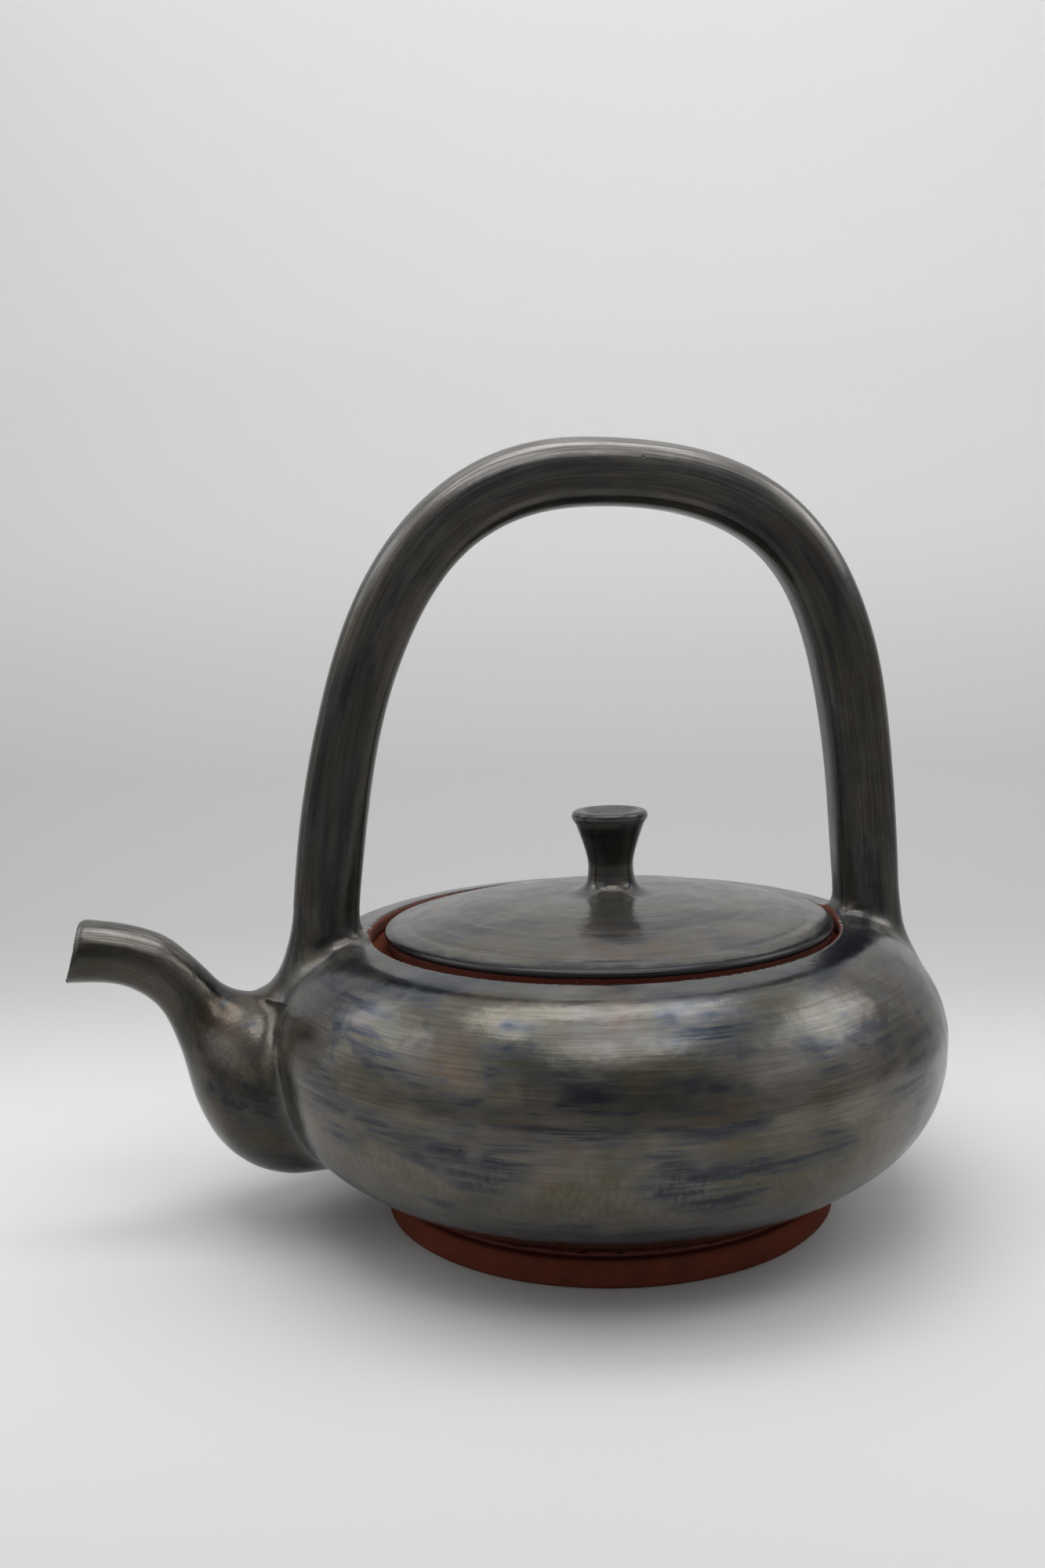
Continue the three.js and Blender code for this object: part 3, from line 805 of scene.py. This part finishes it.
def make_foot():
    inner = FOOT_RADIUS - 7
    corners = [
        (inner - 1, FOOT_HEIGHT), (inner, 0.7), (inner + 0.9, 0), (FOOT_RADIUS - 0.9, 0),
        (FOOT_RADIUS, 0.9), (FOOT_RADIUS - 0.35, FOOT_HEIGHT - 1.3), (FOOT_RADIUS - 1.1, FOOT_HEIGHT),
    ]
    outline = rounded(corners, 0.5)
    obj = make_ring("foot_turned", "foot_ring", "pot", outline, 192)
    # Fingers and a wet base leave the foot a little uneven
    points = mesh_points(obj)
    turn = np.arctan2(points[:, 1], points[:, 0])
    share = np.clip(points[:, 2] / FOOT_HEIGHT, 0, 1)
    swell = 0.12 * np.sin(3 * turn + 1) * share + 0.05 * np.sin(11 * turn + points[:, 2] * 0.8)
    ring_marks = 0.07 * np.sin(points[:, 2] * 3.1) * share * (1 - share) * 4
    radius = np.hypot(points[:, 0], points[:, 1])
    grow = 1 + (swell + ring_marks) * (radius > FOOT_RADIUS - 3) / radius
    move_points(obj, points * np.stack([grow, grow, np.ones_like(grow)], -1))


def move_points(obj, points):
    placed = (points + [AXIS_X, 0, 0]) * MM
    obj.data.vertices.foreach_set("co", placed.ravel())
    obj.data.update()


def make_gallery():
    corners = [
        (THROAT_RADIUS, SEAT_TOP), (THROAT_RADIUS, SEAT_BOTTOM),
        (SHELF_RADIUS - 4, SEAT_BOTTOM), (SHELF_RADIUS, SEAT_TOP),
    ]
    make_ring("gallery_turned", "gallery_ring", "pot", rounded(corners, 0.9), 192)


# The lid

lid_low, lid_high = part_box("lid_cap")
LID_SHIFT = ((lid_low.x + lid_high.x) / 2 / MM - AXIS_X, (lid_low.y + lid_high.y) / 2 / MM)
LID_RADIUS = (lid_high.y - lid_low.y) / 2 / MM
LID_BOTTOM, LID_TOP = lid_low.z / MM, lid_high.z / MM
KNOB_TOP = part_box("lid_knob")[1].z / MM
KNOB_RADIUS = (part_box("lid_knob")[1].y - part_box("lid_knob")[0].y) / 2 / MM
FLANGE_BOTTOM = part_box("lid_flange")[0].z / MM
FLANGE_RADIUS = (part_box("lid_flange")[1].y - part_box("lid_flange")[0].y) / 2 / MM
LID_EDGE = 5.2
LID_BEAD = 1.3
# Below this height on its side the lid's clay is bare, and above it the rolled edge hangs out so far
LID_BARE = 3.2
LID_ROLL = 0.9
LID_GROOVE = 56.6
CROWN_RADIUS = 35
KNOB_SEAT = 9.6
KNOB_SHIFT = 1.2
KNOB_WAIST = 6.5
LID_LEAN = 0.9


def lid_outline():
    """The lid and its knob in one line, from the hollow below to the dished top: [radius, height]."""
    edge_top = LID_BOTTOM + LID_EDGE
    inside = FLANGE_RADIUS - 3.5
    rim = np.array([LID_RADIUS - LID_BEAD, edge_top + 0.2])
    seat = np.array([KNOB_SEAT + 4.2, LID_TOP - 0.1])
    pull = np.array([CROWN_RADIUS, LID_TOP - 0.4])
    crown = bezier([rim, rim + (pull - rim) * 2 / 3, seat + (pull - seat) * 2 / 3, seat], 60)
    stem_foot = (KNOB_WAIST + 0.3, LID_TOP + 3.2)
    stem_head = (KNOB_RADIUS - 1.1, KNOB_TOP - 3.6)
    neck = bezier([seat, (KNOB_SEAT + 0.6, LID_TOP), (KNOB_WAIST + 1.5, LID_TOP + 0.7), stem_foot], 14)
    rise = KNOB_TOP - LID_TOP
    stem = bezier([
        stem_foot, (KNOB_WAIST - 0.8, LID_TOP + rise * 0.36),
        (KNOB_WAIST - 0.1, LID_TOP + rise * 0.45), stem_head,
    ], 26)
    lip = bezier([
        stem_head, (KNOB_RADIUS + 0.3, KNOB_TOP - 2.2),
        (KNOB_RADIUS + 0.3, KNOB_TOP), (KNOB_RADIUS - 2.1, KNOB_TOP),
    ], 12)
    dish = bezier([
        (KNOB_RADIUS - 2.1, KNOB_TOP), (KNOB_RADIUS - 3.6, KNOB_TOP - 0.1),
        (KNOB_WAIST, KNOB_TOP - 2.2), (0, KNOB_TOP - 2.3),
    ], 16)
    under = [(0, LID_TOP - 4.5)] + [tuple(p) for p in shifted(crown, 4.5)[::-1] if p[0] < inside - 1]
    outer = LID_RADIUS + LID_ROLL
    base = rounded([
        (inside, LID_BOTTOM + 6), (inside, LID_BOTTOM), (LID_RADIUS, LID_BOTTOM), (outer, edge_top),
    ], 0.6)
    # Only the two lower corners are used, then the bead and the crown take over
    base = base[5:15]
    # The edge is a soft roll that hangs a little over the side
    bead = bezier([
        (outer - 0.35, edge_top - 2.6), (outer + 0.25, edge_top - 1.5), (outer, edge_top - 0.25), rim,
    ], 14)
    root = [(inside, under[-1][1] - 0.2)]
    line = [*under, *root, *base, *map(tuple, bead), *map(tuple, crown[1:]), *map(tuple, neck[1:])]
    return line + [tuple(p) for p in (*stem[1:], *lip[1:], *dish[1:])]


def make_lid():
    sides = 240
    outline = lid_outline()
    obj = lathe("lid_skin", outline, sides, LID_SHIFT)
    points = mesh_points(obj)
    place = points - [*LID_SHIFT, 0]
    radius = np.hypot(place[:, 0], place[:, 1])
    turn = np.arctan2(place[:, 1], place[:, 0])
    # Throwing rings, and a crown that isn't quite level or flat over its level seat
    rings = 0.035 * np.sin(radius * 1.1 + 0.9 * np.sin(turn + 1)) * np.sin(radius * 0.23 + 1)
    rings *= ease(radius, 14, 22) * ease(radius, 60, 55)
    warp = 0.12 * np.sin(2 * turn + 0.7) * ease(radius, 30, 60) - LID_LEAN * place[:, 1] / LID_RADIUS
    rings -= 0.2 * np.exp(-((radius - LID_GROOVE) / 0.6) ** 2)
    upper = ease(points[:, 2], LID_BOTTOM + 1, LID_BOTTOM + LID_EDGE - 1)
    moved = points.copy()
    moved[:, 2] += (rings + warp) * upper
    # The knob stands a little off the middle
    moved[:, 0] += KNOB_SHIFT * ease(radius, 22, 14) * (points[:, 2] > LID_TOP - 3)
    move_points(obj, moved)
    ceiling = np.minimum(LID_TOP, crown_height(radius)) - 2
    hollow = (radius < FLANGE_RADIUS - 3) & (points[:, 2] < ceiling)
    line = np.where(hollow, 4, 6 * (LID_BOTTOM + LID_BARE - points[:, 2]))
    grain = np.stack([turn * np.maximum(radius, 8), radius, points[:, 2]], -1)
    limbs = np.zeros_like(grain)
    limbs[:, 0] = ease(points[:, 2], LID_TOP + 2, LID_TOP + 6) * (radius < 2 * KNOB_SEAT)
    # The silvery share on the knob's lip and round the lid's bead is a painted highlight
    limbs[:, 2] = 0.6 * ease(points[:, 2], KNOB_TOP - 5, KNOB_TOP - 3) * limbs[:, 0]
    limbs[:, 2] += ease(radius, LID_RADIUS - 1.6, LID_RADIUS - 0.6)
    set_attributes(obj, grain, limbs, line)
    obj.data.materials.append(glaze_material("lid_glaze", turned=True))
    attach(obj, "lid")
    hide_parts("lid_cap", "lid_knob")
    inner = FLANGE_RADIUS - 3.5
    corners = [
        (inner, LID_BOTTOM), (inner, FLANGE_BOTTOM), (FLANGE_RADIUS, FLANGE_BOTTOM), (FLANGE_RADIUS, LID_BOTTOM),
    ]
    make_ring("flange_turned", "lid_flange", "lid", rounded(corners, 0.8), 192, LID_SHIFT)


def crown_height(radius):
    crown = np.array([p for p in lid_outline() if p[1] > LID_BOTTOM + 3])
    crown = crown[(crown[:, 0] > KNOB_SEAT) & (crown[:, 0] <= LID_RADIUS)]
    order = np.argsort(crown[:, 0])
    return np.interp(radius, crown[order, 0], crown[order, 1])


# Stage, light and camera

# The table and the paper behind it are turned to face the camera
STAGE_TURN = math.radians(11.3)
TABLE_EDGE = -0.39
PAPER_BEND = 0.30
PAPER_FAR = 0.20
PAPER_TOP = 0.66
# Reflectance of the paper at so many millimetres along it: painted shade and light, darker at the table's front
# and at the bend, lighter towards the top of the wall
PAPER_SHADE_AND_LIGHT = [
    (-170, 0.56), (-40, 0.68), (86, 0.67), (160, 0.6), (230, 0.53), (300, 0.5), (470, 0.53), (580, 0.64),
    (680, 0.78), (820, 0.92), (950, 0.95),
]


def make_stage():
    """A pale sweep: a table top that curves up into a wall behind the pot."""
    line = [(TABLE_EDGE, 0.0), (-0.1, 0.0), (PAPER_FAR, 0.0)]
    for turn in np.linspace(0, math.pi / 2, 25)[1:]:
        line.append((PAPER_FAR + PAPER_BEND * math.sin(turn), PAPER_BEND * (1 - math.cos(turn))))
    line.append((PAPER_FAR + PAPER_BEND, PAPER_TOP))
    cos, sin = math.cos(STAGE_TURN), math.sin(STAGE_TURN)
    points, faces = [], []
    for x in np.linspace(-2.2, 2.2, 12):
        points += [((x * cos + y * sin) / MM - AXIS_X, (y * cos - x * sin) / MM, z / MM) for y, z in line]
    rows = len(line)
    for i in range(11):
        for j in range(rows - 1):
            a = i * rows + j
            faces.append((a, a + rows, a + rows + 1, a + 1))
    sweep = new_object("sweep", points, faces)
    s = Shade("sweep_paper")
    grain = s.noise(s.place, 1.2, detail=2)
    # The paper's tone changes gently from the table to the top of the wall, as painted shade and light along the
    # sweep
    frame_place = s.plus(s.place, (AXIS_X, 0, 0))
    from_x = s.math("MULTIPLY", s.part(frame_place, 0), sin)
    from_y = s.math("MULTIPLY", s.part(frame_place, 1), cos)
    along = s.math("ADD", s.math("ADD", from_x, from_y), s.part(frame_place, 2))
    first, last = PAPER_SHADE_AND_LIGHT[0][0], PAPER_SHADE_AND_LIGHT[-1][0]
    share = add_node(s.tree, "MapRange", {"Value": along, "From Min": first, "From Max": last})
    ramp = add_node(s.tree, "ValToRGB", {"Fac": share.outputs[0]})
    set_ramp(ramp, PAPER_SHADE_AND_LIGHT)
    sweep.data.materials.append(s.finish(ramp.outputs["Color"], 0.9, 0.0, grain, 0.02))
    clear_from_behind(s)


def clear_from_behind(s):
    """Leaves the paper out where the camera looks at its back, so that it hides no side of the pot."""
    out = next(node for node in s.tree.nodes if node.type == "OUTPUT_MATERIAL")
    paper = out.inputs["Surface"].links[0].from_socket
    back = add_node(s.tree, "NewGeometry").outputs["Backfacing"]
    behind = s.math("MULTIPLY", back, add_node(s.tree, "LightPath").outputs["Is Camera Ray"])
    clear = add_node(s.tree, "BsdfTransparent").outputs[0]
    both = add_node(s.tree, "MixShader", {0: behind, 1: paper, 2: clear}).outputs[0]
    s.tree.links.new(both, out.inputs["Surface"])


def set_ramp(node, stops):
    """Sets a colour ramp to grey levels at places that go from the first stop's to the last's."""
    first, last = stops[0][0], stops[-1][0]
    elements = node.color_ramp.elements
    while len(elements) < len(stops):
        elements.new(0.5)
    for element, (at, level) in zip(elements, stops):
        element.position = (at - first) / (last - first)
        element.color = (level, level, level, 1)


def area_light(name, centre, size, aim, radiance):
    """A rectangular lamp of so much radiance, which the camera doesn't see."""
    data = bpy.data.lights.new(name, "AREA")
    data.shape = "RECTANGLE"
    data.size, data.size_y = size
    data.energy = radiance * math.pi * size[0] * size[1]
    lamp = bpy.data.objects.new(name, data)
    lamp.location = centre
    lamp.rotation_euler = Vector(aim).to_track_quat("-Z", "Y").to_euler()
    lamp.visible_camera = False
    bpy.context.scene.collection.objects.link(lamp)


DOWN = (0, 0, -1)
TO_RIGHT_SIDE = (-0.57, -0.04, -0.49)
# Each lamp's name, middle, width and depth in metres, aim, and radiance
LAMPS = [
    ("rear_bar", (0.03, 0.04, 0.60), (0.46, 0.16), DOWN, 3.6),
    ("left_bar", (-0.235, -0.07, 0.60), (0.09, 0.24), DOWN, 3.3),
    ("front_bar", (0.02, -0.34, 0.60), (0.40, 0.17), DOWN, 2.4),
    ("middle", (0.03, -0.15, 0.602), (0.44, 0.20), DOWN, 1.0),
    ("right_panel", (0.64, -0.04, 0.55), (0.46, 0.34), TO_RIGHT_SIDE, 1.2),
    ("right_core", (0.60, -0.01, 0.54), (0.24, 0.18), TO_RIGHT_SIDE, 1.4),
    ("left_panel", (-0.55, 0.13, 0.50), (0.36, 0.26), (0.52, -0.2, -0.45), 1.6),
    ("wall_wash", (0.02, 0.36, 0.64), (0.8, 0.08), (0.2, 1, -0.7), 1.5),
]

# The room's brightness at so steep a look upwards, and what the camera sees where no paper is
ROOM_TONES = [(0.0, 0.34), (0.16, 0.36), (0.3, 0.28), (0.62, 0.28), (0.75, 0.42), (0.86, 0.75), (1.0, 0.9)]
SEEN_TONE = (0.72, 0.71, 0.72, 1)
DARK_SHARE = 0.5


def make_light():
    for lamp in LAMPS:
        area_light(*lamp)

    world = bpy.data.worlds.new("studio")
    bpy.context.scene.world = world
    world.use_nodes = True
    tree = world.node_tree
    tree.nodes.clear()

    def node_math(operation, *values):
        return add_node(tree, "Math", dict(enumerate(values)), operation=operation).outputs["Value"]

    def smooth(value, start, end, low=0.0, high=1.0):
        inputs = {"Value": value, "From Min": start, "From Max": end, "To Min": low, "To Max": high}
        return add_node(tree, "MapRange", inputs, interpolation_type="SMOOTHSTEP").outputs["Result"]

    look = add_node(tree, "TexCoord").outputs["Generated"]
    split = add_node(tree, "SeparateXYZ", {0: look})
    across, back, rise = (split.outputs[i] for i in range(3))
    ramp = add_node(tree, "ValToRGB", {"Fac": rise})
    set_ramp(ramp, ROOM_TONES)
    # Brighter walls on both sides and behind, and the dark room in front
    aside = smooth(node_math("ABSOLUTE", across), 0.45, 0.85)
    aside = node_math("MULTIPLY", aside, smooth(rise, 0.05, 0.62, 0.0, 1.0))
    behind = node_math("MULTIPLY", smooth(back, 0.0, 0.4, 0.0, 0.7), smooth(rise, 0.95, 0.8))
    level = node_math("ADD", node_math("MAXIMUM", aside, behind), ramp.outputs["Color"])
    bearing = node_math("DIVIDE", across, node_math("MAXIMUM", node_math("MULTIPLY", back, -1.0), 0.05))
    dark_across = node_math("MULTIPLY", smooth(bearing, -0.8, -0.66), smooth(bearing, 0.36, 0.28))
    dark_up = node_math("MULTIPLY", smooth(rise, 0.16, 0.22), smooth(rise, 0.76, 0.7))
    dark = node_math("MULTIPLY", dark_across, dark_up)
    level = node_math("MULTIPLY", level, smooth(dark, 0.0, 1.0, 1.0, DARK_SHARE))
    sky = add_node(tree, "Background", {"Color": level, "Strength": 1.0})
    pale = add_node(tree, "Background", {"Color": SEEN_TONE, "Strength": 1.0})
    seen = add_node(tree, "LightPath").outputs["Is Camera Ray"]
    both = add_node(tree, "MixShader", {0: seen, 1: sky.outputs[0], 2: pale.outputs[0]})
    add_node(tree, "OutputWorld", {"Surface": both.outputs[0]})


# The camera, worked out from the photograph: its place in metres, how far it is turned towards +X from
# +Y, turned down and rolled, in degrees, and its lens and sensor in millimetres
CAMERA_PLACE = (-0.0405, -0.4271, 0.1773)
CAMERA_TURNS = (6.137, 7.693, -1.645)
CAMERA_LENS, CAMERA_SENSOR = 36, 36


def make_camera():
    heading, pitch, roll = (math.radians(v) for v in CAMERA_TURNS)
    level = math.cos(pitch)
    forward = Vector((math.sin(heading) * level, math.cos(heading) * level, -math.sin(pitch)))
    right = Vector((math.cos(heading), -math.sin(heading), 0))
    up = right.cross(forward)
    level_right = math.cos(roll) * right + math.sin(roll) * up
    level_up = -math.sin(roll) * right + math.cos(roll) * up
    data = bpy.data.cameras.new("camera")
    data.lens, data.sensor_width = CAMERA_LENS, CAMERA_SENSOR
    camera = bpy.data.objects.new("camera", data)
    camera.matrix_world = Matrix.Translation(CAMERA_PLACE) @ Matrix((
        level_right, level_up, -forward)).transposed().to_4x4()
    bpy.context.scene.collection.objects.link(camera)
    bpy.context.scene.camera = camera


make_camera()
make_pot()
make_foot()
make_gallery()
make_lid()
make_stage()
make_light()
bpy.context.scene.view_settings.view_transform = "Standard"
